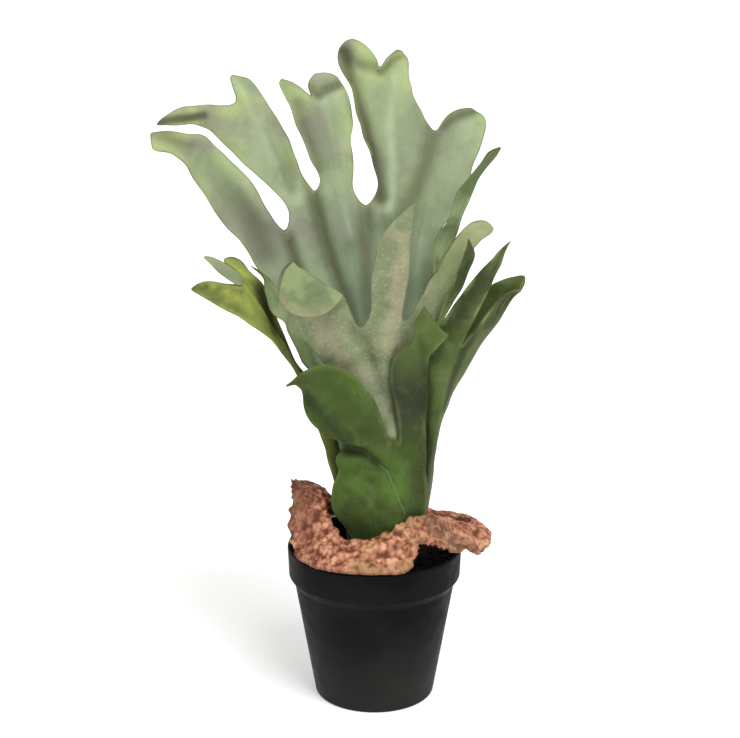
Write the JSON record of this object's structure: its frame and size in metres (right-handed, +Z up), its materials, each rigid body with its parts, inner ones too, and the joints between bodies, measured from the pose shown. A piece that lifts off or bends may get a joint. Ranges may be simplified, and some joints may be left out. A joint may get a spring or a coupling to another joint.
{
  "type": "staghorn fern in a pot",
  "caption": "Staghorn fern with upright forked antler fronds and a crinkled brown shield frond, standing in a plain round tapered black pot with a flat base.",
  "frame": {"origin": "centre of the pot's flat base, on the surface that it stands on", "axes": "+Z up along the pot's axis, -Y towards the front of the plant"},
  "size_m": [0.3087, 0.172, 0.559],
  "materials": {
    "pot_plastic": "smooth satin black moulded plastic",
    "potting_mix": "rough dark damp peat and bark crumbs",
    "crown": "rough brown fibrous rootstock",
    "shield_frond": "knobbly copper brown, tan beneath",
    "fan_leaf": "matt grey-green with a pale bloom",
    "front_leaf": "matt, mealy grey above and deep green at the sheath",
    "side_leaf": "soft satin mid green",
    "olive_leaf": "soft satin yellow-green"
  },
  "bodies": {
    "root": {"pot": "pot_plastic", "potting_mix": "potting_mix", "crown": "crown", "shield_frond": "shield_frond", "frond_back_fan": "fan_leaf", "frond_front": "front_leaf", "frond_right_pointed": "side_leaf", "frond_right_spoon": "side_leaf", "frond_left_outer": "olive_leaf", "frond_left_inner": "olive_leaf"}
  },
  "joints": []
}
